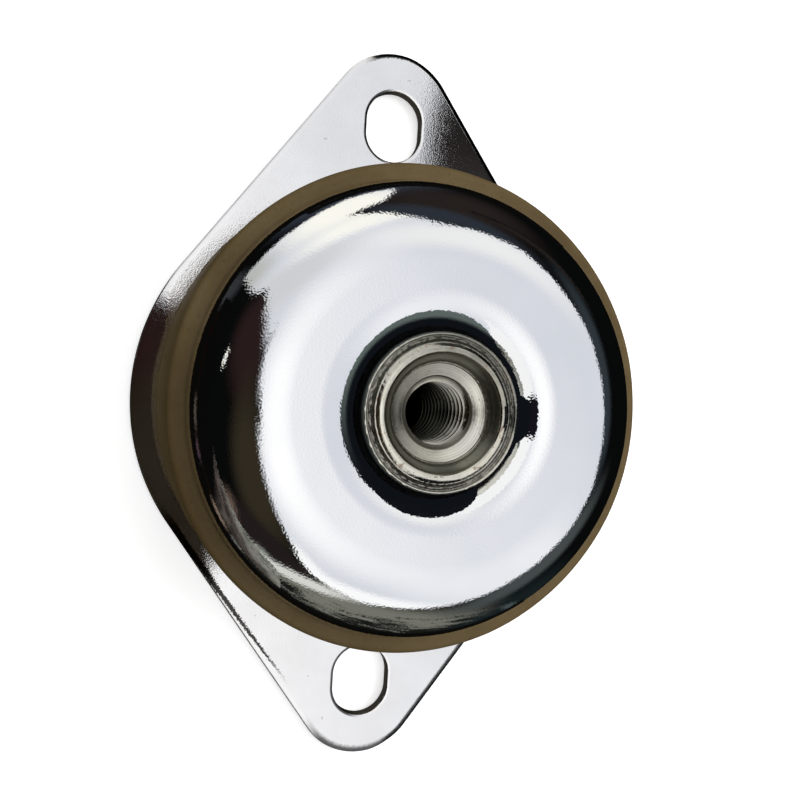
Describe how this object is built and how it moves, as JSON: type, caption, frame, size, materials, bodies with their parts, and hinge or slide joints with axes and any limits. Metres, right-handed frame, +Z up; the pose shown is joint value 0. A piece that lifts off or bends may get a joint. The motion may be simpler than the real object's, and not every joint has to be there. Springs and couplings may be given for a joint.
{
  "type": "anti-vibration bell mount",
  "caption": "Bell-shaped rubber vibration mount: a pressed metal cap with a threaded insert bonded over a rubber ring on a rhombic flange with slotted ears.",
  "frame": {"origin": "centre of the base plate's flat underside, on the mount's axis", "axes": "+Z up along the mount's axis, out of the threaded insert; the base plate's ears lie along +Y and -Y"},
  "size_m": [0.094, 0.1378, 0.0415],
  "materials": {
    "base_plate": "bright plated pressed steel, satin on the face",
    "rubber": "tan brown natural rubber, smooth moulded",
    "bell": "mirror chrome over pressed steel",
    "insert": "turned steel with tool marks",
    "washer": "zinc plated, dull"
  },
  "bodies": {
    "base": {"base_plate": "base_plate", "rubber_body": "rubber"},
    "bell": {"dome_cap": "bell", "threaded_insert": "insert", "rebound_washer": "washer"}
  },
  "joints": [
    {"name": "axial_deflection", "type": "slide", "parent": "base", "child": "bell", "axis": [0, 0, 1], "range_m": [-0.005, 0.0025], "stiffness_N_per_m": 500000, "deforming": ["rubber_body"]}
  ]
}
